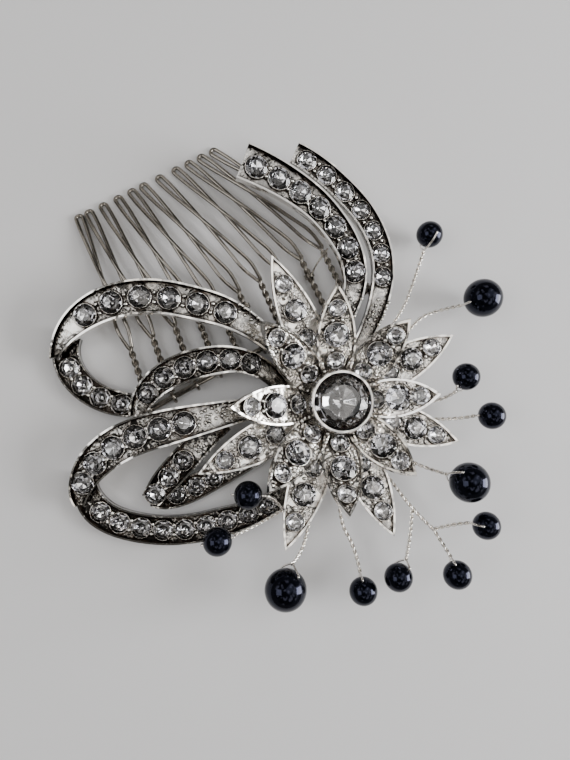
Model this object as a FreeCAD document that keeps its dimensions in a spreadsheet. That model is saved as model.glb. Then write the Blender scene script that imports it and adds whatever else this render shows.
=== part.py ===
import FreeCAD, Part
import math
import os
from FreeCAD import Placement, Rotation, Vector

# A wire hair comb with a jewelled flower, a ribbon bow and beads on twisted stems.
# It lies on its back: Z = 0 is the table, +Z leaves the ornament's face, +Y follows the
# teeth to their tips, and +X follows the comb's spine. The flower's axis is the Z axis.

os.makedirs("parts", exist_ok=True)
doc = FreeCAD.newDocument("hair_comb")
sheet = doc.addObject("Spreadsheet::Sheet", "dimensions")

DIMENSIONS = [
    ("tooth_wire_radius", 0.33),
    ("tooth_count", 11),
    ("tooth_pitch", 4.32),
    ("eye_pitch", 4.5),
    ("first_eye_x", -28.6),
    ("first_closure_x", -26.5),
    ("spine_y", 14.8),
    ("closure_y", 26.3),
    ("tip_y", 51.3),
    ("spine_wire_radius", 0.5),
    ("spine_overhang", 1.0),
    ("eye_clearance", 0.04),
    ("table_clearance", 0.05),
    ("leg_spread", 1.0),
    ("tip_spread", 0.6),
    ("shank_turns", 3.5),
    ("boss_radius", 5.0),
    ("boss_height", 1.2),
    ("hub_radius", 9.0),
    ("hub_height", 1.4),
    ("rivet_radius", 1.2),
    ("rivet_clearance", 0.03),
    ("rivet_foot", 0.4),
    ("spacer_radius", 2.4),
    ("spacer_height", 0.9),
    ("lower_hub_radius", 6.0),
    ("lower_hub_height", 0.8),
    ("upper_hub_radius", 4.2),
    ("upper_hub_height", 1.3),
    ("upper_root_rise", 0.5),
    ("upper_cup_angle", 27.0),
    ("lower_cup_angle", 5.0),
    ("upper_petal_root", 4.1),
    ("lower_petal_root", 4.5),
    ("upper_petal_width", 6.5),
    ("lower_petal_width", 6.7),
    ("petal_thickness", 1.2),
    ("rim_width", 0.3),
    ("rim_height", 0.75),
    ("seat_floor", 0.35),
    ("seat_clearance", 0.04),
    ("strip_height", 1.6),
    ("bezel_foot_radius", 3.4),
    ("bezel_foot_height", 1.3),
    ("bezel_flare_height", 0.9),
    ("bezel_wall_height", 2.75),
    ("bezel_lip_height", 0.25),
    ("bezel_lip_slope", 0.2),
    ("bezel_radius", 5.3),
    ("bezel_wall", 0.5),
    ("centre_stone_clearance", 0.03),
    ("centre_stone_crown", 1.3),
    ("centre_stone_girdle", 0.3),
    ("centre_stone_culet", 0.5),
    ("centre_stone_sink", 0.4),
    ("small_bead_radius", 2.4),
    ("large_bead_radius", 3.45),
    ("bead_wire_radius", 0.18),
    ("bead_bore_clearance", 0.07),
    ("bead_loop_gap", 0.15),
    ("bead_loop_bend", 0.42),
    ("stem_radius", 0.36),
    ("stem_level", 3.05),
    ("binding_radius", 0.15),
    ("binding_clearance", 0.04),
]
for row, (alias, value) in enumerate(DIMENSIONS, start=1):
    sheet.set("A%d" % row, alias)
    sheet.set("B%d" % row, str(value))
    sheet.setAlias("B%d" % row, alias)
doc.recompute()


def size(alias):
    return float(getattr(sheet, alias))


PARTS = []


def keep(feature, label):
    """Register a finished sub-part under its file name."""
    feature.Label = label
    PARTS.append(feature)
    return feature


def add_shape(label, shape):
    """A sub-part whose shape comes from Part functions and sheet values."""
    feature = doc.addObject("Part::Feature", label)
    feature.Shape = shape
    feature.Placement = Placement()
    return keep(feature, label)


def add_cylinder(name, radius, height, level):
    """A cylinder on the flower's axis, bound to the sheet by expressions."""
    cylinder = doc.addObject("Part::Cylinder", name)
    cylinder.setExpression("Radius", radius)
    cylinder.setExpression("Height", height)
    cylinder.setExpression(".Placement.Base.z", level)
    return cylinder


def add_cone(name, bottom, top, height, level):
    """A cone frustum on the flower's axis, bound to the sheet by expressions."""
    cone = doc.addObject("Part::Cone", name)
    cone.setExpression("Radius1", bottom)
    cone.setExpression("Radius2", top)
    cone.setExpression("Height", height)
    cone.setExpression(".Placement.Base.z", level)
    return cone


def cut(name, base, tool):
    """Base minus tool."""
    result = doc.addObject("Part::Cut", name)
    result.Base = base
    result.Tool = tool
    return result


def fuse(name, shapes):
    """All the shapes as one solid."""
    result = doc.addObject("Part::MultiFuse", name)
    result.Shapes = shapes
    return result


# Wire routes: straight runs joined by tangent arcs.
ARC_SHARE = 0.45


def wire_route(points, longest_reach):
    points = [Vector(*point) for point in points]
    edges = []
    start = points[0]
    for before, corner, after in zip(points, points[1:], points[2:]):
        back = before - corner
        ahead = after - corner
        reach = min(longest_reach, ARC_SHARE * min(back.Length, ahead.Length))
        back.normalize()
        ahead.normalize()
        turn = math.pi - back.getAngle(ahead)
        bisector = back + ahead
        bisector.normalize()
        radius = reach / math.tan(turn / 2)
        centre = corner + bisector * (radius / math.cos(turn / 2))
        arc_start = corner + back * reach
        arc_end = corner + ahead * reach
        edges.append(Part.makeLine(start, arc_start))
        edges.append(Part.Arc(arc_start, centre - bisector * radius, arc_end).toShape())
        start = arc_end
    edges.append(Part.makeLine(start, points[-1]))
    return Part.Wire(edges)


def wire_tube(points, radius, longest_reach=10.0):
    """Round wire along a route."""
    route = wire_route(points, longest_reach)
    direction = Vector(*points[1]) - Vector(*points[0])
    section = Part.Wire(Part.makeCircle(radius, Vector(*points[0]), direction))
    return route.makePipeShell([section], True, False)


# Each strand's centre lies this share of its radius from the twist's axis.
STRAND_SHARE = 0.9


def twisted_pair(start, end, wire_radius, turns):
    """Two wires twisted round each other, as one solid along a straight line."""
    strand_offset = STRAND_SHARE * wire_radius
    waist = math.sqrt(wire_radius ** 2 - strand_offset ** 2)
    reach = strand_offset + wire_radius
    right = Part.Arc(Vector(0, waist, 0), Vector(reach, 0, 0), Vector(0, -waist, 0))
    left = Part.Arc(Vector(0, -waist, 0), Vector(-reach, 0, 0), Vector(0, waist, 0))
    section = Part.Wire([right.toShape(), left.toShape()])
    length = (end - start).Length
    spine = Part.Wire([Part.makeLine(Vector(0, 0, 0), Vector(0, 0, length))])
    guide = Part.Wire(Part.makeHelix(length / turns, length, 1.0).Edges)
    sweep = Part.BRepOffsetAPI.MakePipeShell(spine)
    sweep.setAuxiliarySpine(guide, True, 0)
    sweep.add(section)
    sweep.build()
    sweep.makeSolid()
    pair = sweep.shape()
    pair.Placement = Placement(start, Rotation(Vector(0, 0, 1), end - start))
    return pair


# Levels up the flower's axis
HUB_BOTTOM = size("boss_height")
HUB_TOP = HUB_BOTTOM + size("hub_height")
LOWER_BOTTOM = HUB_TOP + size("spacer_height")
UPPER_BOTTOM = LOWER_BOTTOM + size("lower_hub_height")
UPPER_TOP = UPPER_BOTTOM + size("upper_hub_height")
HUB_BOTTOM_TEXT = "dimensions.boss_height"
HUB_TOP_TEXT = HUB_BOTTOM_TEXT + " + dimensions.hub_height"
LOWER_BOTTOM_TEXT = HUB_TOP_TEXT + " + dimensions.spacer_height"
UPPER_BOTTOM_TEXT = LOWER_BOTTOM_TEXT + " + dimensions.lower_hub_height"
UPPER_TOP_TEXT = UPPER_BOTTOM_TEXT + " + dimensions.upper_hub_height"
RIVET_HOLE_TEXT = "dimensions.rivet_radius + dimensions.rivet_clearance"

# Back boss: the round foot behind the flower, blind-bored for the rivet.
boss_disc = add_cylinder("boss_disc", "dimensions.boss_radius", HUB_BOTTOM_TEXT, "0")
boss_bore = add_cylinder("boss_bore", RIVET_HOLE_TEXT, "dimensions.boss_height", "dimensions.rivet_foot")
keep(cut("back_boss", boss_disc, boss_bore), "back_boss")

# Bow hub: the plate behind the flower that the strips' inner ends meet.
hub_disc = add_cylinder("hub_disc", "dimensions.hub_radius", "dimensions.hub_height", HUB_BOTTOM_TEXT)
hub_bore = add_cylinder("hub_bore", RIVET_HOLE_TEXT, "dimensions.hub_height", HUB_BOTTOM_TEXT)
keep(cut("bow_hub", hub_disc, hub_bore), "bow_hub")

# Flower rivet: a pin with a collar that holds the lower petals off the hub.
RIVET_LENGTH_TEXT = UPPER_TOP_TEXT + " - dimensions.rivet_foot"
rivet_pin = add_cylinder("rivet_pin", "dimensions.rivet_radius", RIVET_LENGTH_TEXT, "dimensions.rivet_foot")
rivet_collar = add_cylinder(
    "rivet_collar", "dimensions.spacer_radius", "dimensions.spacer_height", HUB_TOP_TEXT)
keep(fuse("flower_rivet", [rivet_pin, rivet_collar]), "flower_rivet")

# Bezel: a foot on the upper petals, a flare, and a wall with a sloped lip that holds the centre stone.
BEZEL_FLARE_TEXT = UPPER_TOP_TEXT + " + dimensions.bezel_foot_height"
BEZEL_WALL_TEXT = BEZEL_FLARE_TEXT + " + dimensions.bezel_flare_height"
BEZEL_LIP_TEXT = BEZEL_WALL_TEXT + " + dimensions.bezel_wall_height"
BEZEL_BORE_TEXT = "dimensions.bezel_radius - dimensions.bezel_wall"
BEZEL_DEPTH_TEXT = "dimensions.bezel_wall_height + dimensions.bezel_lip_height"
bezel_foot = add_cylinder(
    "bezel_foot", "dimensions.bezel_foot_radius", "dimensions.bezel_foot_height", UPPER_TOP_TEXT)
bezel_flare = add_cone("bezel_flare", "dimensions.bezel_foot_radius", "dimensions.bezel_radius",
                       "dimensions.bezel_flare_height", BEZEL_FLARE_TEXT)
bezel_wall = add_cylinder(
    "bezel_wall_ring", "dimensions.bezel_radius", "dimensions.bezel_wall_height", BEZEL_WALL_TEXT)
bezel_lip = add_cone("bezel_lip", "dimensions.bezel_radius",
                     "dimensions.bezel_radius - dimensions.bezel_lip_slope",
                     "dimensions.bezel_lip_height", BEZEL_LIP_TEXT)
bezel_body = fuse("bezel_body", [bezel_foot, bezel_flare, bezel_wall, bezel_lip])
bezel_bore = add_cylinder("bezel_bore", BEZEL_BORE_TEXT, BEZEL_DEPTH_TEXT, BEZEL_WALL_TEXT)
keep(cut("bezel", bezel_body, bezel_bore), "bezel")

# Centre stone: pavilion, girdle and crown, seated on the bezel's floor.
STONE_RADIUS_TEXT = BEZEL_BORE_TEXT + " - dimensions.centre_stone_clearance"
GIRDLE_TEXT = "dimensions.centre_stone_girdle"
PAVILION_TEXT = BEZEL_DEPTH_TEXT + " - dimensions.centre_stone_sink"
pavilion = add_cone("pavilion", "dimensions.centre_stone_culet", STONE_RADIUS_TEXT, PAVILION_TEXT, BEZEL_WALL_TEXT)
girdle = add_cylinder(
    "girdle", STONE_RADIUS_TEXT, GIRDLE_TEXT, BEZEL_WALL_TEXT + " + " + PAVILION_TEXT)
crown = add_cone("crown", STONE_RADIUS_TEXT, "(" + STONE_RADIUS_TEXT + ") * 0.56",
                 "dimensions.centre_stone_crown",
                 BEZEL_WALL_TEXT + " + " + PAVILION_TEXT + " + " + GIRDLE_TEXT)
keep(fuse("centre_stone", [pavilion, girdle, crown]), "centre_stone")

# Comb spine: the wire through the teeth's eyes.
EYE_RING = size("spine_wire_radius") + size("eye_clearance") + size("tooth_wire_radius")
COMB_LEVEL = EYE_RING + size("tooth_wire_radius") + size("table_clearance")
spine = doc.addObject("Part::Cylinder", "comb_spine")
spine.setExpression("Radius", "dimensions.spine_wire_radius")
spine.setExpression("Height", "(dimensions.tooth_count - 1) * dimensions.eye_pitch"
                    " + 2 * dimensions.spine_overhang")
spine.Placement = Placement(
    Vector(size("first_eye_x") - size("spine_overhang"), size("spine_y"), COMB_LEVEL),
    Rotation(Vector(0, 1, 0), 90))
keep(spine, "comb_spine")

# Comb teeth: one wire each. Its legs leave the twisted shank, cross once and meet in a round tip.
TIP_SHIFTS = [3.2, 0.8, -0.8, -2.2, -3.8, -5.8, -6.9, -7.9, -9.6, -11.4, -13.2]
LEG_ROOT = 0.3
LEG_RISE = 0.5
LEG_ARCH = 1.4
LEG_LIFT = 0.5
TIP_RISE = 0.4
TIP_REACH = 3.0


def tooth_eye(index):
    return Vector(size("first_eye_x") + index * size("eye_pitch"), size("spine_y"), COMB_LEVEL)


def tooth_closure(index):
    return Vector(size("first_closure_x") + index * size("tooth_pitch"), size("closure_y"), COMB_LEVEL)


def comb_tooth(index):
    wire = size("tooth_wire_radius")
    eye = tooth_eye(index)
    closure = tooth_closure(index)
    tip = Vector(closure.x + TIP_SHIFTS[index], size("tip_y"), wire + size("table_clearance"))
    ring = Part.makeTorus(EYE_RING, wire, eye, Vector(1, 0, 0))
    along = closure - eye
    along.normalize()
    shank = twisted_pair(eye + along * EYE_RING, closure, wire, size("shank_turns"))
    ahead = Vector(tip.x - closure.x, tip.y - closure.y, 0)
    ahead.normalize()
    side = Vector(ahead.y, -ahead.x, 0)
    middle = (closure + tip) * 0.5
    spread = size("leg_spread")
    tip_spread = size("tip_spread")
    start_side = STRAND_SHARE * wire

    def leg(hand):
        lift = Vector(0, 0, LEG_ARCH + hand * LEG_LIFT)
        return [
            closure - along * LEG_ROOT + side * (hand * start_side),
            closure + ahead * TIP_REACH + side * (hand * spread) + Vector(0, 0, LEG_RISE),
            middle + lift,
            tip - ahead * TIP_REACH - side * (hand * tip_spread) + Vector(0, 0, TIP_RISE),
            tip - side * (hand * tip_spread),
        ]
    route = leg(1) + list(reversed(leg(-1)))
    legs = wire_tube([tuple(point) for point in route], wire)
    return ring.fuse([shank, legs])


for index in range(int(size("tooth_count"))):
    add_shape("comb_tooth_%02d" % (index + 1), comb_tooth(index))

# Round stones: flat foot, pavilion, girdle and crown.
SEAT_CUT_DEPTH = 4.0
FOOT_SHARE = 0.4
TABLE_SHARE = 0.56
PAVILION_HEIGHT = 0.75
GIRDLE_HEIGHT = 0.15
CROWN_HEIGHT = 0.6


def round_stone(radius, seat, normal):
    girdle_level = PAVILION_HEIGHT + GIRDLE_HEIGHT
    corners = [
        Vector(0, 0, 0),
        Vector(FOOT_SHARE * radius, 0, 0),
        Vector(radius, 0, PAVILION_HEIGHT),
        Vector(radius, 0, girdle_level),
        Vector(TABLE_SHARE * radius, 0, girdle_level + CROWN_HEIGHT),
        Vector(0, 0, girdle_level + CROWN_HEIGHT),
        Vector(0, 0, 0),
    ]
    outline = Part.Face(Part.makePolygon(corners))
    stone = outline.revolve(Vector(0, 0, 0), Vector(0, 0, 1), 360)
    stone.Placement = Placement(seat, Rotation(Vector(0, 0, 1), normal))
    return stone


def seat_cutter(radius, seat, normal):
    return Part.makeCylinder(radius + size("seat_clearance"), SEAT_CUT_DEPTH, seat, normal)


# Petals: a pointed plate with a raised rim and three stones in line.
PETAL_ROOT_SHARE = 0.28
WIDEST_SHARE = 0.5


def petal_outline(root, root_half, widest, half_width, tip, level):
    right = Part.Arc(Vector(root, -root_half, level), Vector(widest, -half_width, level), Vector(tip, 0, level))
    left = Part.Arc(Vector(tip, 0, level), Vector(widest, half_width, level), Vector(root, root_half, level))
    back = Part.makeLine(Vector(root, root_half, level), Vector(root, -root_half, level))
    return Part.Face(Part.Wire([right.toShape(), left.toShape(), back]))


def petal(root, tip, width, cup_angle, stones, heading, level):
    """One petal and its stones, placed round the flower."""
    thickness = size("petal_thickness")
    rim = size("rim_width")
    widest = root + WIDEST_SHARE * (tip - root)
    root_half = PETAL_ROOT_SHARE * width
    outer = petal_outline(root, root_half, widest, width / 2, tip, 0)
    inner = petal_outline(root + rim, root_half - rim, widest, width / 2 - rim, tip - 2 * rim,
                          thickness - size("rim_height"))
    plate = outer.extrude(Vector(0, 0, thickness))
    plate = plate.cut(inner.extrude(Vector(0, 0, thickness)))
    gems = []
    for share, radius in stones:
        seat = Vector(root + share * (tip - root), 0, size("seat_floor"))
        plate = plate.cut(seat_cutter(radius, seat, Vector(0, 0, 1)))
        gems.append(round_stone(radius, seat, Vector(0, 0, 1)))
    tilt = Placement(Vector(0, 0, 0), Rotation(Vector(0, 1, 0), -cup_angle), Vector(root, 0, 0))
    turn = Placement(Vector(0, 0, level), Rotation(Vector(0, 0, 1), heading))
    place = turn.multiply(tilt)
    for shape in [plate] + gems:
        shape.Placement = place.multiply(shape.Placement)
    return plate, gems


def petal_layer(label, petals, root, width, cup_angle, stones, level, hub):
    """A whole layer of petals fused to its hub, with its stones as a second node."""
    plates = []
    gems = []
    for heading, tip in petals:
        plate, petal_gems = petal(root, tip, width, cup_angle, stones, heading, level)
        plates.append(plate)
        gems.extend(petal_gems)
    add_shape(label, hub.fuse(plates))
    add_shape(label + "_stones", Part.makeCompound(gems))


def ring_disc(radius, height, level):
    """A hub disc with the rivet's hole through it."""
    disc = Part.makeCylinder(radius, height, Vector(0, 0, level))
    hole = size("rivet_radius") + size("rivet_clearance")
    return disc.cut(Part.makeCylinder(hole, height, Vector(0, 0, level)))


LOWER_PETALS = [(85, 28.0), (0.5, 24.3), (-47, 22.8), (-96.5, 25.0), (-139.5, 26.6), (177.5, 26.7)]
UPPER_PETALS = [(107.5, 20.8), (64.5, 21.3), (21.5, 19.6), (-25, 18.2),
                (-75, 18.8), (-118, 20.6), (-160.5, 21.1), (154, 20.8)]
LOWER_STONES = [(0.34, 1.65), (0.56, 2.0), (0.775, 1.55)]
UPPER_STONES = [(0.225, 1.6), (0.5, 2.15), (0.765, 1.5)]
petal_layer("lower_petals", LOWER_PETALS, size("lower_petal_root"), size("lower_petal_width"),
            size("lower_cup_angle"), LOWER_STONES, LOWER_BOTTOM,
            ring_disc(size("lower_hub_radius"), size("lower_hub_height"), LOWER_BOTTOM))
petal_layer("upper_petals", UPPER_PETALS, size("upper_petal_root"), size("upper_petal_width"),
            size("upper_cup_angle"), UPPER_STONES, UPPER_BOTTOM + size("upper_root_rise"),
            ring_disc(size("upper_hub_radius"), size("upper_hub_height"), UPPER_BOTTOM))


# Binding wires: a short coil round a tooth's shank and an end that runs up to a strip above it.
COIL_TURNS = 3
COIL_PITCH_SHARE = 1.9


def binding_wire(tooth, coil_y, route):
    wire = size("binding_radius")
    eye = tooth_eye(tooth)
    along = tooth_closure(tooth) - eye
    share = (coil_y - size("spine_y")) / along.y
    centre = eye + along * share
    along.normalize()
    shank_radius = (1 + STRAND_SHARE) * size("tooth_wire_radius")
    ring_radius = shank_radius + wire + size("binding_clearance")
    rings = []
    for turn in range(COIL_TURNS):
        rings.append(Part.makeTorus(ring_radius, wire, centre + along * (turn * COIL_PITCH_SHARE * wire), along))
    start = centre + Vector(0, 0, ring_radius)
    tail = wire_tube([tuple(start)] + route, wire)
    return rings[0].fuse(rings[1:] + [tail])


add_shape("binding_wire_left", binding_wire(5, 22.6, [(-5.2, 21.6, 3.3), (-6.6, 20.4, 4.15)]))
add_shape("binding_wire_right", binding_wire(8, 22.0, [(9.4, 23.2, 3.6), (12.4, 24.6, 4.65)]))


# Ribbon strips: a channel with raised rims along a curved centreline, with stones set in a row.
def strip(label, stations, stones=None, stones_label=None, sections=9):
    """Stations are (x, y, z of the rims' top, width); stones are (first, spacing, count, radius)."""
    points = [Vector(x, y, z) for x, y, z, _ in stations]
    centreline = Part.BSplineCurve()
    centreline.interpolate(points)
    marks = [centreline.parameter(point) for point in points]
    widths = [station[3] for station in stations]
    first_mark = centreline.FirstParameter
    last_mark = centreline.LastParameter
    rim = size("rim_width")
    height = size("strip_height")
    floor = size("rim_height")

    def width_at(mark):
        for low, high, narrow, wide in zip(marks, marks[1:], widths, widths[1:]):
            if mark <= high:
                share = max(0.0, (mark - low) / (high - low))
                return narrow + share * (wide - narrow)
        return widths[-1]

    def frame_at(mark):
        forward = centreline.tangent(mark)[0]
        side = forward.cross(Vector(0, 0, 1))
        side.normalize()
        return side, side.cross(forward)

    profiles = []
    for index in range(sections):
        mark = first_mark + (last_mark - first_mark) * index / (sections - 1)
        origin = centreline.value(mark)
        side, up = frame_at(mark)
        half = width_at(mark) / 2
        offsets = [
            (-half, -height), (half, -height), (half, 0), (half - rim, 0),
            (half - rim, -floor), (rim - half, -floor), (rim - half, 0), (-half, 0), (-half, -height),
        ]
        profiles.append(Part.makePolygon([origin + side * across + up * above for across, above in offsets]))
    body = Part.makeLoft(profiles, True, False)
    gems = []
    if stones:
        first, spacing, count, radius = stones
        for index in range(count):
            mark = centreline.parameterAtDistance(first + index * spacing, first_mark)
            up = frame_at(mark)[1]
            seat = centreline.value(mark) - up * (height - size("seat_floor"))
            body = body.cut(seat_cutter(radius, seat, up))
            gems.append(round_stone(radius, seat, up))
    body = body.cut(Part.makeCylinder(size("hub_radius"), 20, Vector(0, 0, 0)))
    add_shape(label, body)
    return gems


upper_loop_stones = strip("upper_loop_front", [
    (-38.4, 29.9, 3.6, 1.6), (-33.8, 32.8, 5.4, 4.0), (-28.6, 33.6, 6.6, 5.7), (-23.1, 32.7, 7.4, 5.9),
    (-18.1, 30.4, 7.6, 5.8), (-13.8, 27.1, 7.4, 5.7), (-9.6, 23.1, 6.9, 5.3), (-6.5, 18.6, 6.0, 4.2),
    (-4.6, 14.2, 4.9, 3.4), (-3.3, 8.0, 2.6, 3.0)], stones=(9.6, 4.9, 6, 1.9), sections=12)
upper_loop_stones += strip("upper_loop_back", [
    (-34.3, 33.0, 1.9, 4.2), (-36.4, 30.6, 1.9, 4.5), (-37.2, 27.6, 1.9, 4.6), (-36.8, 24.3, 1.9, 4.6),
    (-35.5, 21.4, 1.9, 4.5), (-33.5, 18.9, 1.9, 4.4), (-31.4, 17.2, 1.9, 4.2)], stones=(6.1, 3.75, 4, 1.7))
add_shape("upper_loop_stones", Part.makeCompound(upper_loop_stones))

inner_loop_stones = strip("inner_loop", [
    (-31.2, 14.6, 3.8, 2.4), (-27.7, 17.2, 4.7, 4.2), (-23.4, 18.2, 5.5, 5.0), (-19.0, 17.8, 6.0, 5.2),
    (-14.7, 16.5, 6.1, 4.9), (-10.9, 14.4, 5.7, 4.3), (-8.6, 11.8, 4.6, 3.6), (-6.5, 5.8, 2.6, 3.0)],
    stones=(4.6, 3.95, 6, 1.85))
add_shape("inner_loop_stones", Part.makeCompound(inner_loop_stones))

lower_loop_stones = strip("lower_loop_front", [
    (-46.3, 6.1, 3.6, 1.6), (-43.8, 9.3, 4.9, 4.4), (-39.7, 11.3, 6.2, 5.9), (-35.1, 11.9, 7.2, 6.2),
    (-30.5, 11.3, 7.5, 6.2), (-26.1, 10.2, 7.2, 5.9), (-21.6, 8.9, 6.5, 5.2), (-17.2, 7.6, 5.7, 4.4),
    (-12.3, 5.7, 4.4, 3.4), (-8.2, 2.7, 2.6, 3.0)], stones=(4.1, 4.15, 6, 1.92), sections=12)
lower_loop_stones += strip("lower_loop_back", [
    (-43.2, 10.0, 1.9, 4.2), (-44.8, 6.6, 1.9, 4.5), (-43.7, 2.1, 1.9, 4.9), (-40.5, -1.6, 1.9, 4.9),
    (-36.4, -4.7, 1.9, 4.9), (-31.7, -7.0, 1.9, 5.0), (-26.7, -8.6, 1.9, 5.0), (-21.6, -9.7, 2.1, 4.2),
    (-16.3, -9.8, 2.4, 3.8), (-11.8, -8.1, 2.5, 3.2), (-7.6, -4.3, 2.5, 3.0)],
    stones=(7.0, 3.75, 9, 1.7), sections=13)
add_shape("lower_loop_stones", Part.makeCompound(lower_loop_stones))

small_loop_stones = strip("small_loop_front", [
    (-18.6, 7.0, 4.0, 4.2), (-24.4, 5.4, 4.2, 4.6), (-28.3, 4.1, 4.2, 4.8), (-32.2, 2.7, 4.0, 4.6),
    (-35.8, 1.1, 3.6, 3.4)], stones=(9.6, 3.7, 3, 1.7))
small_loop_stones += strip("small_loop_back", [
    (-35.8, 1.3, 1.9, 2.6), (-33.4, 0.1, 1.9, 4.2), (-30.2, -0.6, 1.9, 4.6), (-26.9, -0.9, 1.9, 4.4),
    (-20.5, -1.2, 2.1, 3.8), (-14.0, -1.3, 2.4, 3.2), (-8.4, -1.1, 2.5, 3.0)], stones=(4.4, 3.5, 3, 1.6))
add_shape("small_loop_stones", Part.makeCompound(small_loop_stones))

tail_stones = strip("left_tail", [
    (5.7, 43.9, 9.0, 6.6), (8.8, 40.1, 8.6, 6.4), (11.6, 35.9, 8.1, 6.0), (13.8, 31.5, 7.4, 5.6),
    (15.1, 26.7, 6.6, 5.2), (15.3, 21.6, 5.7, 4.7), (13.6, 16.8, 4.9, 4.0), (9.6, 12.8, 4.0, 3.4),
    (4.0, 7.6, 2.6, 2.8)], stones=(2.6, 4.3, 7, 1.95), sections=12)
tail_stones += strip("right_tail", [
    (15.3, 42.2, 6.0, 4.2), (18.0, 37.8, 5.6, 4.5), (20.0, 33.0, 5.1, 4.6), (21.4, 28.0, 4.7, 4.5),
    (21.6, 22.7, 4.4, 4.2), (20.2, 17.6, 4.3, 4.0), (17.4, 13.4, 4.2, 3.8), (13.0, 9.2, 3.4, 3.2),
    (7.0, 5.0, 2.6, 2.8)], stones=(2.6, 4.35, 7, 1.75), sections=12)
add_shape("tail_stones", Part.makeCompound(tail_stones))

# Beads turn on the wire through them. Each row: centre, large or small, the stem's heading at
# the bead in the table's plane, then the hole's heading and its lean from upright, in degrees.
BEADS = [
    ((30.6, 18.2, 4.0), False, 220, 279, 12), ((32.8, 3.3, 5.5), True, 170, 170, 62),
    ((22.1, -7.2, 7.0), False, 205, 190, 72), ((22.9, -15.5, 6.5), False, 150, 150, 78),
    ((12.9, -23.0, 8.0), True, 130, 110, 48), ((11.9, -31.0, 7.5), False, 140, 140, 34),
    ((3.0, -35.0, 8.5), False, 80, 85, 55), ((-5.8, -30.5, 7.5), False, 35, 22, 54),
    ((-12.0, -29.9, 6.0), False, 70, 73, 53), ((-23.1, -22.1, 8.5), True, 45, 25, 53),
    ((-28.9, -9.8, 8.0), False, 350, 347, 74), ((-21.0, -6.0, 6.5), False, 325, 330, 72),
]
LOOP_STEP = math.radians(45)
LOOP_STAND_OFF = 1.09
GATHER_STAND_OFF = 1.11
BORE_OVERRUN = 0.5


def bead_radius(large):
    return size("large_bead_radius") if large else size("small_bead_radius")


def bead_axis(heading, lean):
    """The hole's direction: up, leaning towards a heading."""
    tilt = Rotation(Vector(-math.sin(math.radians(heading)), math.cos(math.radians(heading)), 0), lean)
    return tilt.multVec(Vector(0, 0, 1))


for number, (centre, large, heading, hole_heading, lean) in enumerate(BEADS, start=1):
    alias = "dimensions.large_bead_radius" if large else "dimensions.small_bead_radius"
    ball = doc.addObject("Part::Sphere", "ball_%02d" % number)
    ball.setExpression("Radius", alias)
    axis = bead_axis(hole_heading, lean)
    ball.Placement = Placement(Vector(*centre), Rotation(Vector(0, 0, 1), axis))
    bore = doc.addObject("Part::Cylinder", "bore_%02d" % number)
    bore.setExpression("Radius", "dimensions.bead_wire_radius + dimensions.bead_bore_clearance")
    bore.setExpression("Height", "2 * (" + alias + " + %s)" % BORE_OVERRUN)
    bore.Placement = Placement(
        Vector(*centre) - axis * (bead_radius(large) + BORE_OVERRUN), Rotation(Vector(0, 0, 1), axis))
    keep(cut("bead_cut_%02d" % number, ball, bore), "bead_%02d" % number)


def wire_stand(number):
    """How far a bead's wire runs from the bead's centre."""
    return bead_radius(BEADS[number - 1][1]) + size("bead_wire_radius") + size("bead_loop_gap")


def stem_direction(number):
    heading = math.radians(BEADS[number - 1][2])
    return Vector(math.cos(heading), math.sin(heading), 0)


def stem_start(number):
    """Where the two wires round a bead come together on its stem side."""
    return Vector(*BEADS[number - 1][0]) + stem_direction(number) * (GATHER_STAND_OFF * wire_stand(number))


def bead_wire(number):
    """The wire through a bead: both ends run round the bead and meet on its stem side."""
    centre, _, _, hole_heading, lean = BEADS[number - 1]
    centre = Vector(*centre)
    axis = bead_axis(hole_heading, lean)
    outward = stem_direction(number)
    across = axis - outward * axis.dot(outward)
    across.normalize()
    opening = outward.getAngle(axis)
    reach = LOOP_STAND_OFF * wire_stand(number)

    def run(angle):
        steps = max(1, math.ceil(abs(angle) / LOOP_STEP))
        bends = [angle * step / steps for step in range(1, steps + 1)]
        return [centre + (outward * math.cos(bend) + across * math.sin(bend)) * reach for bend in bends]
    half_gap = across * (0.55 * size("bead_wire_radius"))
    gather = stem_start(number) + outward * 0.1
    route = [gather + half_gap] + run(opening) + list(reversed(run(opening - math.pi))) + [gather - half_gap]
    return wire_tube([tuple(point) for point in route], size("bead_wire_radius"), size("bead_loop_bend"))


def stem_branch(start, points):
    """A twisted stem's run from a start through hand-set points."""
    return wire_tube([tuple(start)] + points, size("stem_radius"))


def root_point(heading):
    """A stem's inner end beside the rivet's collar."""
    reach = size("spacer_radius") + 0.1
    angle = math.radians(heading)
    return (reach * math.cos(angle), reach * math.sin(angle), size("stem_level"))


STEMS = [
    ("stem_01", [1], [[(23.8, 12.0, 3.3), (19.3, 8.3, 3.05), (11.5, 5.0, 3.05)]], 24),
    ("stem_02", [2], [[(25.3, 5.2, 4.0), (20.7, 6.0, 3.05), (12.0, 1.2, 3.05)]], 2),
    ("stem_03", [3], [[(17.6, -9.2, 4.0), (13.5, -7.4, 3.05), (9.0, -3.4, 3.05)]], -20),
    ("stem_04", [4], [[(18.3, -13.5, 4.5), (14.0, -11.2, 3.05), (9.0, -8.0, 3.05)]], -43),
    ("stem_05", [5], [[(9.6, -19.2, 4.6), (6.6, -15.6, 3.05), (3.6, -9.0, 3.05)]], -66),
    ("stem_09", [9], [[(-9.4, -23.4, 4.4), (-9.6, -18.6, 3.2), (-5.0, -10.0, 3.05)]], -114),
    ("stem_10", [10], [[(-18.0, -19.6, 4.6), (-14.2, -15.8, 3.1), (-8.0, -9.6, 3.05)]], -135),
]
for label, numbers, runs, heading in STEMS:
    branch = stem_branch(stem_start(numbers[0]), runs[0] + [root_point(heading)])
    add_shape(label, bead_wire(numbers[0]).fuse(branch))

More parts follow.
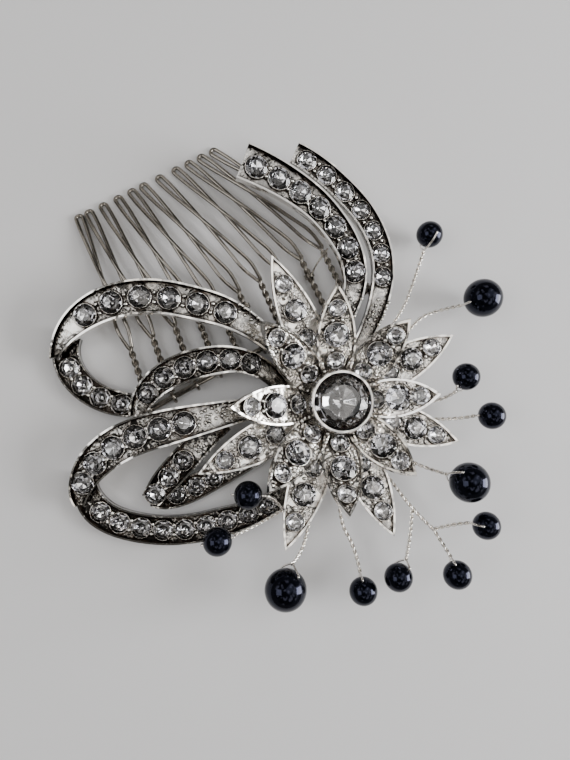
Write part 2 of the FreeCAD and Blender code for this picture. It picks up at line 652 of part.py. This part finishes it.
# Spray of beads 6, 7 and 8: three stems that join on their way to the flower.
SPRAY_NODE = (3.9, -27.4, 5.5)
SPRAY_MERGE = (2.7, -23.0, 4.0)
spray = stem_branch(SPRAY_NODE, [SPRAY_MERGE, (2.2, -17.5, 3.05), (0.6, -9.0, 3.05), root_point(-90)])
spray_parts = [
    wire_tube([tuple(stem_start(6)), (7.4, -28.2, 6.2), SPRAY_NODE], size("stem_radius")),
    wire_tube([tuple(stem_start(7)), (3.9, -30.0, 6.6), SPRAY_NODE], size("stem_radius")),
    wire_tube([tuple(stem_start(8)), (-0.2, -26.4, 5.6), SPRAY_MERGE], size("stem_radius")),
    Part.makeSphere(size("stem_radius"), Vector(*SPRAY_NODE)),
    Part.makeSphere(size("stem_radius"), Vector(*SPRAY_MERGE)),
    bead_wire(6), bead_wire(7), bead_wire(8),
]
add_shape("spray_06_07_08", spray.fuse(spray_parts))

# Spray of beads 11 and 12: two stems that join under the petals.
TWIN_NODE = (-17.0, -11.6, 3.3)
twin = stem_branch(stem_start(11), [(-22.4, -11.4, 5.2), TWIN_NODE])
twin_parts = [
    wire_tube([tuple(stem_start(12)), (-17.6, -8.9, 4.0), TWIN_NODE], size("stem_radius")),
    wire_tube([TWIN_NODE, (-10.5, -6.6, 3.05), root_point(-158)], size("stem_radius")),
    Part.makeSphere(size("stem_radius"), Vector(*TWIN_NODE)),
    bead_wire(11), bead_wire(12),
]
add_shape("spray_11_12", twin.fuse(twin_parts))

doc.recompute()
for obj in doc.Objects:
    if "Invalid" in obj.State or "Error" in obj.State:
        raise RuntimeError("failed object: " + obj.Label)
for feature in PARTS:
    if feature.Shape.isNull() or not feature.Shape.isValid():
        raise RuntimeError("bad shape: " + feature.Label)
    feature.Shape.exportStep("parts/" + feature.Label + ".step")
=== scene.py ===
import math

import bmesh
import bpy
import numpy as np
from mathutils import Matrix, Vector
from mathutils.bvhtree import BVHTree


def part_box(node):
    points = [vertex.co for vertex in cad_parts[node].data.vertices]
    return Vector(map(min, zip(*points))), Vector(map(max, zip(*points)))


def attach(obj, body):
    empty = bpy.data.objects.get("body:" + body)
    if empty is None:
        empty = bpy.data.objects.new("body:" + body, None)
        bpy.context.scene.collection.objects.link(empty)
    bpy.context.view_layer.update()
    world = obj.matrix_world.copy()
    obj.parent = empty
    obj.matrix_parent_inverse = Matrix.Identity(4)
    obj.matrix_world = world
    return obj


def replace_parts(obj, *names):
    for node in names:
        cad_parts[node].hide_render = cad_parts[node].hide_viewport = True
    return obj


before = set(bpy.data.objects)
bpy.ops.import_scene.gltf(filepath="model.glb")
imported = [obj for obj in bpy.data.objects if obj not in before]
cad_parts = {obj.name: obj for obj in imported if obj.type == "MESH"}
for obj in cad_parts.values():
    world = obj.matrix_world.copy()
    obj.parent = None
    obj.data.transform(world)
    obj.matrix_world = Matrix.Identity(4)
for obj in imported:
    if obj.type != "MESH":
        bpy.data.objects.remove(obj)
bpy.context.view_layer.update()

MM = 0.001


# Camera: it stands above the ornament's left side and looks almost straight down, turned so
# that the comb's spine climbs to the upper right. The lens is a little wider than a 28 mm one.
VIEW_POINT = Vector((-18.3, 6.8, 103.1)) * MM
VIEW_BACK = Vector((-0.1252, -0.0103, 0.9921)).normalized()
SPINE_SLOPE = math.radians(29)

picture_right = Vector((math.cos(SPINE_SLOPE), -math.sin(SPINE_SLOPE), 0))
view_right = (picture_right - VIEW_BACK * picture_right.dot(VIEW_BACK)).normalized()
view_up = VIEW_BACK.cross(view_right)
camera_data = bpy.data.cameras.new("camera")
camera_data.lens = 27.05
camera_data.clip_start = 0.005
camera = bpy.data.objects.new("camera", camera_data)
view_turn = Matrix((view_right, view_up, VIEW_BACK)).transposed().to_4x4()
camera.matrix_world = Matrix.Translation(VIEW_POINT) @ view_turn
bpy.context.scene.collection.objects.link(camera)
bpy.context.scene.camera = camera


# Floor: a pale matt sheet that the comb lies on, bare and even, with faint smears in its finish. It
# is only the stage for the comb and belongs to no piece.
def linear(hex_colour):
    """An sRGB hex colour as linear red, green, blue and alpha."""
    channels = [int(hex_colour[i:i + 2], 16) / 255 for i in (1, 3, 5)]
    return [c / 12.92 if c <= 0.04045 else ((c + 0.055) / 1.055) ** 2.4 for c in channels] + [1.0]


def add_node(material, kind, settings=(), links=()):
    """Adds one node, sets its properties and sockets, and links its inputs."""
    node = material.node_tree.nodes.new(kind)
    for name, value in settings:
        if name in node.inputs:
            node.inputs[name].default_value = value
        else:
            setattr(node, name, value)
    for name, output in links:
        material.node_tree.links.new(output, node.inputs[name])
    return node


def new_material(name, settings):
    """A material with its shader's sockets set."""
    material = bpy.data.materials.new(name)
    material.use_nodes = True
    shader = material.node_tree.nodes["Principled BSDF"]
    for socket, value in settings:
        shader.inputs[socket].default_value = value
    return material, shader


def handled(material, shader, grain_mm, smoothest, roughest):
    """Faint smears from handling: the roughness wanders between two values over grains of this size."""
    coords = add_node(material, "ShaderNodeTexCoord")
    smears = add_node(material, "ShaderNodeTexNoise", [("Scale", 1 / (grain_mm * MM)), ("Detail", 3.0)],
                      [("Vector", coords.outputs["Object"])])
    finish = add_node(material, "ShaderNodeMapRange", [
        ("From Min", 0.35), ("From Max", 0.65), ("To Min", smoothest), ("To Max", roughest)],
        [("Value", smears.outputs["Fac"])])
    material.node_tree.links.new(finish.outputs["Result"], shader.inputs["Roughness"])


FLOOR_HALF_WIDTH = 0.6

floor_mesh = bmesh.new()
bmesh.ops.create_grid(floor_mesh, x_segments=1, y_segments=1, size=FLOOR_HALF_WIDTH)
floor_data = bpy.data.meshes.new("floor")
floor_mesh.to_mesh(floor_data)
floor_mesh.free()
floor = bpy.data.objects.new("floor", floor_data)
bpy.context.scene.collection.objects.link(floor)
pale_sheet, sheet_shader = new_material("pale_matt_sheet", [("Base Color", linear("#e2e2e4"))])
handled(pale_sheet, sheet_shader, 9.0, 0.72, 0.86)
floor.data.materials.append(pale_sheet)


# Light: a wide softbox overhead to the right, a bright window low on the right that throws the
# shadows to the left, and a card on the left for the right-hand petals to mirror. The room is dim
# and even, and its ceiling has pale panels that show as patches in the plate and the stones.
def softbox(name, place, width, depth, radiance):
    """A rectangular lamp aimed at the flower, as bright as its radiance says."""
    lamp = bpy.data.lights.new(name, "AREA")
    lamp.shape = "RECTANGLE"
    lamp.size = width
    lamp.size_y = depth
    lamp.energy = radiance * math.pi * width * depth
    holder = bpy.data.objects.new(name, lamp)
    holder.location = place
    holder.rotation_euler = (-Vector(place)).to_track_quat("-Z", "Y").to_euler()
    bpy.context.scene.collection.objects.link(holder)


softbox("overhead_softbox", (0.24, 0.05, 0.50), 0.34, 0.55, 0.9)
softbox("side_window", (0.40, -0.25, 0.155), 0.26, 0.29, 16.0)
softbox("left_card", (-0.30, 0.14, 0.36), 0.24, 0.24, 2.8)
world = bpy.data.worlds.new("surround")
world.use_nodes = True
directions = add_node(world, "ShaderNodeTexCoord")
panel_cells = add_node(world, "ShaderNodeTexVoronoi", [("Scale", 5.0), ("Randomness", 1.0)],
                       [("Vector", directions.outputs["Generated"])])
panel_tone = add_node(world, "ShaderNodeSeparateColor", links=[("Color", panel_cells.outputs["Color"])])
panel_share = add_node(world, "ShaderNodeMapRange", [
    ("From Min", 0.64), ("From Max", 0.70), ("To Min", 0.05), ("To Max", 2.1)],
    [("Value", panel_tone.outputs["Red"])])
direction_parts = add_node(world, "ShaderNodeSeparateXYZ",
                           links=[("Vector", directions.outputs["Generated"])])
ceiling_share = add_node(world, "ShaderNodeMapRange", [
    ("From Min", 0.35), ("From Max", 0.5), ("To Min", 0.0), ("To Max", 1.0)],
    [("Value", direction_parts.outputs["Z"])])
room_light = add_node(world, "ShaderNodeMix", [("data_type", "FLOAT")])
room_light.inputs[2].default_value = 0.16
world.node_tree.links.new(ceiling_share.outputs["Result"], room_light.inputs[0])
world.node_tree.links.new(panel_share.outputs["Result"], room_light.inputs[3])
world.node_tree.links.new(room_light.outputs[0], world.node_tree.nodes["Background"].inputs["Strength"])
world.node_tree.nodes["Background"].inputs["Color"].default_value = (1.0, 0.96, 0.90, 1)
bpy.context.scene.world = world


# Plate: cast zinc-alloy strips and petals under a rhodium-like plating. The cast floors between
# the stones stay grainy, and their corners carry painted shade, more of it on the strips than
# on the petals; the rims keep the bright plate colour.
def rhodium_plate(name, painted_shade_colour, reach, darkest, brightest):
    """Bright plating over a cast face, with painted shade that darkens it where the face lies between these
    corner depths.
    """
    plate, plate_shader = new_material(name, [("Metallic", 1.0), ("Roughness", 0.13)])
    links = plate.node_tree.links
    coords = add_node(plate, "ShaderNodeTexCoord")
    corner_depth = add_node(plate, "ShaderNodeAmbientOcclusion", [("samples", 8), ("Distance", reach)])
    unshaded_share = add_node(plate, "ShaderNodeMapRange", [
        ("From Min", darkest), ("From Max", brightest), ("To Min", 0.0), ("To Max", 1.0)],
        [("Value", corner_depth.outputs["AO"])])
    floor_share = add_node(plate, "ShaderNodeMapRange", [
        ("From Min", 0.99), ("From Max", 0.86), ("To Min", 0.0), ("To Max", 1.0)],
        [("Value", corner_depth.outputs["AO"])])
    grain_cells = add_node(plate, "ShaderNodeTexVoronoi", [("Scale", 1700.0), ("Randomness", 0.9)],
                           [("Vector", coords.outputs["Object"])])
    grain_patches = add_node(plate, "ShaderNodeTexNoise", [("Scale", 420.0), ("Detail", 1.0)],
                             [("Vector", coords.outputs["Object"])])
    patch_share = add_node(plate, "ShaderNodeMapRange", [
        ("From Min", 0.40), ("From Max", 0.58), ("To Min", 0.0), ("To Max", 1.0)],
        [("Value", grain_patches.outputs["Fac"])])
    grain_share = add_node(plate, "ShaderNodeMath", [("operation", "MULTIPLY")])
    links.new(floor_share.outputs["Result"], grain_share.inputs[0])
    links.new(patch_share.outputs["Result"], grain_share.inputs[1])
    grain_height = add_node(plate, "ShaderNodeMath", [("operation", "MULTIPLY")])
    links.new(grain_cells.outputs["Distance"], grain_height.inputs[0])
    links.new(grain_share.outputs["Value"], grain_height.inputs[1])
    grain_bump = add_node(plate, "ShaderNodeBump", [
        ("Strength", 0.8), ("Distance", 0.00022), ("invert", True)],
        [("Height", grain_height.outputs["Value"])])
    waves = add_node(plate, "ShaderNodeTexNoise", [("Scale", 260.0), ("Detail", 2.0)],
                     [("Vector", coords.outputs["Object"])])
    swell = add_node(plate, "ShaderNodeBump", [("Strength", 0.5), ("Distance", 0.0006)],
                     [("Height", waves.outputs["Fac"]), ("Normal", grain_bump.outputs["Normal"])])
    # Painted shade: the base colour runs from the painted shade colour in corners and hollows to the bright
    # plate on open faces.
    tone = add_node(plate, "ShaderNodeMix", [("data_type", "RGBA")])
    tone.inputs[6].default_value = linear(painted_shade_colour)
    tone.inputs[7].default_value = linear("#f2efea")
    links.new(unshaded_share.outputs["Result"], tone.inputs[0])
    links.new(tone.outputs[2], plate_shader.inputs["Base Color"])
    links.new(swell.outputs["Normal"], plate_shader.inputs["Normal"])
    return plate


# Painted shade on both plates, darker and reaching further on the strips than on the petals.
petal_plate = rhodium_plate("rhodium_plated_petals", "#5c5044", 0.0016, 0.28, 0.80)
strip_plate = rhodium_plate("rhodium_plated_strips", "#2e2721", 0.0028, 0.64, 0.98)
for name in ("back_boss", "bow_hub", "flower_rivet", "bezel", "lower_petals", "upper_petals"):
    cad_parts[name].material_slots[0].material = petal_plate
for name in ("upper_loop_front", "upper_loop_back", "inner_loop", "lower_loop_front", "lower_loop_back",
             "small_loop_front", "small_loop_back", "left_tail", "right_tail"):
    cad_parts[name].material_slots[0].material = strip_plate


# Comb and its wires: spring-hard drawn wire under plating, doubled and twisted into teeth. Its grey
# is set darker than the plating's own as a painted dark reflection. The same wire look goes on the
# plain stems until the twisted ones take their place.
comb_wire, comb_shader = new_material("plated_spring_wire", [
    ("Base Color", linear("#8f8a83")), ("Metallic", 1.0)])
handled(comb_wire, comb_shader, 1.5, 0.05, 0.12)
for name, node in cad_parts.items():
    if name.startswith(("comb_", "stem_", "spray_", "binding_")):
        node.material_slots[0].material = comb_wire


# Beads: black pressed glass balls in two sizes with a faint blue sheen. Each is drilled through,
# and the soft wire runs through its hole.
black_glass, glass_shader = new_material("black_pressed_glass", [
    ("Base Color", linear("#030408")), ("IOR", 1.38), ("Specular Tint", linear("#c8d0ff"))])
handled(black_glass, glass_shader, 1.2, 0.09, 0.15)
for name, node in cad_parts.items():
    if name.startswith("bead_"):
        node.material_slots[0].material = black_glass


# Bead wires and stems: soft plated wire doubled through each bead and twisted on itself down to the
# flower, where it runs between the layers to the hub.
silver_wire, wire_shader = new_material("plated_soft_wire", [
    ("Base Color", linear("#e6e2dc")), ("Metallic", 1.0)])
handled(silver_wire, wire_shader, 1.0, 0.08, 0.18)
SOFT_WIRE = 0.18
TWIST_PITCH = 2.1
STEPS_PER_TURN = 14
LOOP_GAP = 0.15
STEM_LEVEL = 3.05
COLLAR_REACH = 2.5
UP = Vector((0, 0, 1))


def smooth_points(route):
    """Points along a smooth line that has the route's points, in mm, as its control points."""
    line = bpy.data.curves.new("line", "CURVE")
    line.dimensions = "3D"
    line.resolution_u = 10
    spline = line.splines.new("NURBS")
    spline.points.add(len(route) - 1)
    for control, spot in zip(spline.points, route):
        control.co = (*spot, 1)
    spline.order_u = 3
    spline.use_endpoint_u = True
    holder = bpy.data.objects.new("line", line)
    traced = bpy.data.meshes.new_from_object(holder)
    return [vert.co.copy() for vert in traced.vertices]


def stem_lines(route, start_side):
    """The two wires of one stem, wound round each other along its route."""
    points = smooth_points(route)
    strands = ([], [])
    side = start_side
    travelled = 0.0
    steps = []
    for before, after in zip(points, points[1:]):
        count = max(1, round((after - before).length / (TWIST_PITCH / STEPS_PER_TURN)))
        steps += [before.lerp(after, i / count) for i in range(count)]
    steps.append(points[-1])
    for index, spot in enumerate(steps):
        ahead = steps[min(index + 1, len(steps) - 1)] - steps[max(index - 1, 0)]
        ahead.normalize()
        side = (side - ahead * side.dot(ahead)).normalized()
        if index:
            travelled += (spot - steps[index - 1]).length
        angle = 2 * math.pi * travelled / TWIST_PITCH
        out = side * math.cos(angle) + ahead.cross(side) * math.sin(angle)
        strands[0].append(spot + out * SOFT_WIRE)
        strands[1].append(spot - out * SOFT_WIRE)
    return list(strands)


def wire_piece(name, lines, node):
    """One mesh of round soft wires along lines given in mm, in the place of a plain CAD wire."""
    curve = bpy.data.curves.new(name, "CURVE")
    curve.dimensions = "3D"
    curve.bevel_depth = SOFT_WIRE * MM
    curve.bevel_resolution = 2
    curve.use_fill_caps = True
    for line in lines:
        spline = curve.splines.new("POLY")
        spline.points.add(len(line) - 1)
        for control, spot in zip(spline.points, line):
            control.co = (*(spot * MM), 1)
    holder = bpy.data.objects.new(name + "_curve", curve)
    data = bpy.data.meshes.new_from_object(holder)
    data.name = name
    piece = bpy.data.objects.new(name, data)
    bpy.context.scene.collection.objects.link(piece)
    data.materials.clear()
    data.materials.append(silver_wire)
    for polygon in data.polygons:
        polygon.use_smooth = True
    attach(piece, "comb")
    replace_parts(piece, node)


# Each bead's stem heading in the table's plane, its hole's heading and the hole's lean from upright.
BEAD_WIRES = {1: (220, 279, 12), 2: (170, 170, 62), 3: (205, 190, 72), 4: (150, 150, 78),
              5: (130, 110, 48), 6: (140, 140, 34), 7: (80, 85, 55), 8: (35, 22, 54),
              9: (70, 73, 53), 10: (45, 25, 53), 11: (350, 347, 74), 12: (325, 330, 72)}
LOOP_STEP = math.radians(45)
LOOP_STAND_OFF = 1.09
GATHER_STAND_OFF = 1.11
GATHER_LEAD = 0.1
MOUTH_SETBACK = 0.3


def heading_vector(degrees):
    """A level direction from its heading."""
    return Vector((math.cos(math.radians(degrees)), math.sin(math.radians(degrees)), 0))


def bead_frame(number):
    """A bead's centre, its hole's axis, the way to its stem and the stand of its wire, in mm."""
    low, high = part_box("bead_%02d" % number)
    centre = (Vector(low) + Vector(high)) / 2 / MM
    radius = (high[0] - low[0]) / 2 / MM
    stem_heading, hole_heading, lean = BEAD_WIRES[number]
    lean = math.radians(lean)
    axis = UP * math.cos(lean) + heading_vector(hole_heading) * math.sin(lean)
    return centre, axis, heading_vector(stem_heading), radius + SOFT_WIRE + LOOP_GAP


def stem_head(number):
    """Where a bead's wires come together and the twist starts."""
    centre, _, outward, stand = bead_frame(number)
    return centre + outward * (GATHER_STAND_OFF * stand)


def bead_loop(number):
    """The wire through a bead: round its front, down the hole and back round behind."""
    centre, axis, outward, stand = bead_frame(number)
    across = (axis - outward * axis.dot(outward)).normalized()
    opening = outward.angle(axis)
    reach = LOOP_STAND_OFF * stand

    def run(angle):
        steps = max(1, math.ceil(abs(angle) / LOOP_STEP))
        bends = [angle * step / steps for step in range(1, steps + 1)]
        return [centre + (outward * math.cos(bend) + across * math.sin(bend)) * reach for bend in bends]

    gather = stem_head(number) + outward * GATHER_LEAD
    mouth = axis * (reach - MOUTH_SETBACK)
    front = [gather + across * SOFT_WIRE] + run(opening) + [centre + mouth, centre]
    back = [centre, centre - mouth] + list(reversed(run(opening - math.pi))) + [gather - across * SOFT_WIRE]
    return [smooth_points(front), smooth_points(back)]


def collar_end(heading):
    """Where a stem ends, at the rivet's collar under the flower."""
    return heading_vector(heading) * COLLAR_REACH + UP * STEM_LEVEL


STEM_ROUTES = {
    1: ([(23.8, 12.0, 3.3), (19.3, 8.3, STEM_LEVEL), (11.5, 5.0, STEM_LEVEL)], 24),
    2: ([(25.3, 5.2, 4.0), (20.7, 6.0, STEM_LEVEL), (12.0, 1.2, STEM_LEVEL)], 2),
    3: ([(17.6, -9.2, 4.0), (13.5, -7.4, STEM_LEVEL), (9.0, -3.4, STEM_LEVEL)], -20),
    4: ([(18.3, -13.5, 4.5), (14.0, -11.2, STEM_LEVEL), (9.0, -8.0, STEM_LEVEL)], -43),
    5: ([(9.6, -19.2, 4.6), (6.6, -15.6, STEM_LEVEL), (3.6, -9.0, STEM_LEVEL)], -66),
    9: ([(-9.4, -23.4, 4.4), (-9.6, -18.6, 3.2), (-5.0, -10.0, STEM_LEVEL)], -114),
    10: ([(-18.0, -19.6, 4.6), (-14.2, -15.8, 3.1), (-8.0, -9.6, STEM_LEVEL)], -135),
}
for number, (bends, heading) in STEM_ROUTES.items():
    route = [stem_head(number)] + [Vector(bend) for bend in bends] + [collar_end(heading)]
    lines = bead_loop(number) + stem_lines(route, bead_frame(number)[1])
    wire_piece("stem_%02d_wire" % number, lines, "stem_%02d" % number)


# Spray of three: one stem of the same soft wire that forks twice in front of the flower and carries
# beads 6, 7 and 8. It is fixed at the collar like the single stems.
SPRAY_NODE = Vector((3.9, -27.4, 5.5))
SPRAY_MERGE = Vector((2.7, -23.0, 4.0))
spray_routes = [
    ([SPRAY_NODE, SPRAY_MERGE, Vector((2.2, -17.5, STEM_LEVEL)), Vector((0.6, -9.0, STEM_LEVEL)),
      collar_end(-90)], UP),
    ([stem_head(6), Vector((7.4, -28.2, 6.2)), SPRAY_NODE], bead_frame(6)[1]),
    ([stem_head(7), Vector((3.9, -30.0, 6.6)), SPRAY_NODE], bead_frame(7)[1]),
    ([stem_head(8), Vector((-0.2, -26.4, 5.6)), SPRAY_MERGE], bead_frame(8)[1]),
]
spray_lines = []
for route, start_side in spray_routes:
    spray_lines += stem_lines(route, start_side)
for number in (6, 7, 8):
    spray_lines += bead_loop(number)
wire_piece("spray_06_07_08_wire", spray_lines, "spray_06_07_08")


# Spray of two: one stem of the same soft wire that runs out over the lower loop and forks to beads
# 11 and 12.
TWIN_NODE = Vector((-17.0, -11.6, 3.3))
twin_routes = [
    ([stem_head(11), Vector((-22.4, -11.4, 5.2)), TWIN_NODE], bead_frame(11)[1]),
    ([stem_head(12), Vector((-17.6, -8.9, 4.0)), TWIN_NODE], bead_frame(12)[1]),
    ([TWIN_NODE, Vector((-10.5, -6.6, STEM_LEVEL)), collar_end(-158)], UP),
]
twin_lines = bead_loop(11) + bead_loop(12)
for route, start_side in twin_routes:
    twin_lines += stem_lines(route, start_side)
wire_piece("spray_11_12_wire", twin_lines, "spray_11_12")


# Stones: machine-cut clear crystal with a mirror foil on its back, glued into the cast seats. The
# small ones have eight-sided facets, and the large one in the bezel has twelve.
crystal, _ = new_material("cut_crystal", [
    ("Base Color", linear("#ffffff")), ("Roughness", 0.0), ("IOR", 1.65), ("Transmission Weight", 1.0)])
foil, foil_shader = new_material("mirror_foil", [("Base Color", linear("#e4e4e7")), ("Metallic", 1.0)])
handled(foil, foil_shader, 0.8, 0.02, 0.09)
WELD_REACH = 0.01
SMALL_STONE_SIDES = 8
LARGE_STONE_SIDES = 12
GIRDLE_LEVEL = 0.5
FACET_SEAM = math.radians(1)
STONE_ROWS = ("lower_petals_stones", "upper_petals_stones", "upper_loop_stones", "inner_loop_stones",
              "lower_loop_stones", "small_loop_stones", "tail_stones")


def loose_stones(node):
    """The corner points and the axis of every separate stone in a CAD node."""
    loose = bmesh.new()
    loose.from_mesh(node.data)
    bmesh.ops.remove_doubles(loose, verts=loose.verts, dist=WELD_REACH * MM)
    stones = []
    seen = set()
    for start in loose.verts:
        if start in seen:
            continue
        island = [start]
        seen.add(start)
        for vert in island:
            for edge in vert.link_edges:
                other = edge.other_vert(vert)
                if other not in seen:
                    seen.add(other)
                    island.append(other)
        points = np.array([vert.co for vert in island])
        _, spread_axes = np.linalg.eigh(np.cov((points - points.mean(axis=0)).T))
        axis = Vector(spread_axes[:, 0])
        if axis.z < 0:
            axis.negate()
        stones.append((points, axis))
    loose.free()
    return stones


def stone_size(points, axis):
    """A stone's centre, girdle radius and height along its axis."""
    along = points @ np.array(axis)
    flat = points - np.outer(along, np.array(axis))
    middle = flat.mean(axis=0)
    radius = float(np.linalg.norm(flat - middle, axis=1).max())
    low, high = float(along.min()), float(along.max())
    return Vector(middle) + axis * ((low + high) / 2), radius, high - low


def cut_rings(sides):
    """Each ring of corners from culet to table: its height, its width, its turn and its count."""
    return [(0.0, 0.08, 0.0, sides), (0.17, 0.52, 0.5, sides), (GIRDLE_LEVEL, 1.0, 0.5, 2 * sides),
            (0.60, 1.0, 0.5, 2 * sides), (0.80, 0.84, 0.5, sides), (1.0, 0.58, 0.0, sides)]


def cut_stone(shape, points, axis, sides):
    """One brilliant-cut stone in the place of a plain one, foiled below its girdle."""
    centre, radius, height = stone_size(points, axis)
    turn = axis.to_track_quat("Z", "Y").to_matrix().to_4x4()
    place = Matrix.Translation(centre - axis * (height / 2)) @ turn
    corners = []
    for rise, share, shift, count in cut_rings(sides):
        for step in range(count):
            angle = 2 * math.pi * (step + shift) / count
            reach = share * radius
            spot = Vector((reach * math.cos(angle), reach * math.sin(angle), rise * height))
            corners.append(shape.verts.new(place @ spot))
    hull = bmesh.ops.convex_hull(shape, input=corners)
    girdle = (place @ Vector((0, 0, GIRDLE_LEVEL * height))).dot(axis)
    for face in (item for item in hull["geom"] if isinstance(item, bmesh.types.BMFace)):
        if face.calc_center_median().dot(axis) < girdle:
            face.material_index = 1


def fixed_piece(name, shape, materials):
    """A finished shape as a piece of the comb's own body."""
    data = bpy.data.meshes.new(name)
    shape.to_mesh(data)
    shape.free()
    piece = bpy.data.objects.new(name, data)
    bpy.context.scene.collection.objects.link(piece)
    for material in materials:
        data.materials.append(material)
    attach(piece, "comb")
    return piece


def stone_piece(node_name, sides):
    """All the stones of one CAD node as one cut piece."""
    shape = bmesh.new()
    for points, axis in loose_stones(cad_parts[node_name]):
        cut_stone(shape, points, axis, sides)
    bmesh.ops.dissolve_limit(shape, angle_limit=FACET_SEAM, verts=shape.verts, edges=shape.edges)
    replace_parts(fixed_piece(node_name + "_cut", shape, [crystal, foil]), node_name)


for name in STONE_ROWS:
    stone_piece(name, SMALL_STONE_SIDES)
stone_piece("centre_stone", LARGE_STONE_SIDES)


# Rings and prong grains: each small stone sits in a thin bright ring, and between neighbours two
# small beads of metal are raised from the cast floor and pushed over to hold them.
RING_THICKNESS = 0.08
RING_GAP = 0.04
RING_LIFT_SHARE = 0.02
PRONG_RADIUS = 0.34
PRONG_OFFSET = 0.82
PRONG_LIFT = 0.1
NEIGHBOUR_REACH = 5.5
NEIGHBOUR_STEP = 1.1


def add_grain(shape, place, radius):
    """One round grain of metal, with its size in mm."""
    bmesh.ops.create_uvsphere(shape, u_segments=8, v_segments=6, radius=radius * MM,
                              matrix=Matrix.Translation(place))


def add_ring(shape, centre, axis, radius, thickness):
    """A round ring about an axis."""
    side = axis.orthogonal().normalized()
    turn = Matrix((side, axis, side.cross(axis))).transposed().to_4x4()
    ring = bmesh.ops.create_circle(shape, segments=5, radius=thickness,
                                   matrix=Matrix.Translation(centre + side * radius) @ turn)
    edges = {edge for vert in ring["verts"] for edge in vert.link_edges}
    bmesh.ops.spin(shape, geom=list(ring["verts"]) + list(edges), cent=centre, axis=axis,
                   angle=2 * math.pi, steps=20, use_merge=True)


def add_prongs(shape, axis, centre, radius, other, other_radius):
    """Two grains in the gap between a stone and the next, if the next is near and level with it."""
    gap = other - centre
    if gap.length > NEIGHBOUR_REACH * MM or abs(gap.dot(axis)) > NEIGHBOUR_STEP * MM:
        return
    middle = centre + gap * ((radius + gap.length - other_radius) / 2 / gap.length)
    side = axis.cross(gap).normalized()
    for hand in (-1, 1):
        add_grain(shape, middle + side * (hand * PRONG_OFFSET * MM) + axis * PRONG_LIFT * MM, PRONG_RADIUS)


def setting_piece(node_name):
    """The rings and prongs that hold the stones of one CAD node."""
    shape = bmesh.new()
    stones = [(axis, *stone_size(points, axis)) for points, axis in loose_stones(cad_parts[node_name])]
    for axis, centre, radius, height in stones:
        add_ring(shape, centre + axis * RING_LIFT_SHARE * height, axis, radius + RING_GAP * MM,
                   RING_THICKNESS * MM)
    for index, (axis, centre, radius, _) in enumerate(stones):
        for _, other, other_radius, _ in stones[index + 1:]:
            add_prongs(shape, axis, centre, radius, other, other_radius)
    bmesh.ops.recalc_face_normals(shape, faces=shape.faces)
    for face in shape.faces:
        face.smooth = True
    fixed_piece(node_name.replace("stones", "settings"), shape, [petal_plate])


for name in STONE_ROWS:
    setting_piece(name)


# Root grains: where a strip narrows to the flower its cast floor carries rows of small raised
# grains in place of stones, bright over the painted shade of the floor around them.
ROOT_LINES = {
    "upper_loop_front": [(-6.9, 23.4), (-5.0, 20.0), (-4.4, 17.4)],
    "lower_loop_front": [(-23.5, 9.3), (-20.5, 8.9), (-17.5, 8.6), (-15.4, 8.0)],
    "left_tail": [(12.5, 14.3), (11.2, 12.1), (9.4, 10.7)],
    "right_tail": [(16.9, 11.6), (14.6, 9.7), (12.2, 8.4)],
}
ROOT_GRAIN_RADIUS = 0.3
ROOT_GRAIN_STEP = 1.15
ROOT_ROW_OFFSET = 0.95
SKY = 30.0


def root_spots(line):
    """Places above a strip, in mm, for three staggered rows of grains along a line."""
    spots = []
    for start, end in zip(line, line[1:]):
        start, end = Vector((*start, SKY)), Vector((*end, SKY))
        along = (end - start).normalized()
        side = Vector((-along.y, along.x, 0))
        for step in range(round((end - start).length / ROOT_GRAIN_STEP)):
            spot = start + along * (step * ROOT_GRAIN_STEP)
            spots.append(spot + side * ROOT_ROW_OFFSET)
            spots.append(spot - side * ROOT_ROW_OFFSET)
            spots.append(spot + along * (ROOT_GRAIN_STEP / 2))
    return spots


def root_grains(node_name, line):
    """Rows of grains dropped onto a strip's floor."""
    cast = bmesh.new()
    cast.from_mesh(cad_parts[node_name].data)
    floor_finder = BVHTree.FromBMesh(cast)
    cast.free()
    shape = bmesh.new()
    for spot in root_spots(line):
        place, _, _, _ = floor_finder.ray_cast(spot * MM, -UP)
        if place:
            add_grain(shape, place, ROOT_GRAIN_RADIUS)
    for face in shape.faces:
        face.smooth = True
    fixed_piece(node_name + "_root_grains", shape, [petal_plate])


for name, line in ROOT_LINES.items():
    root_grains(name, line)
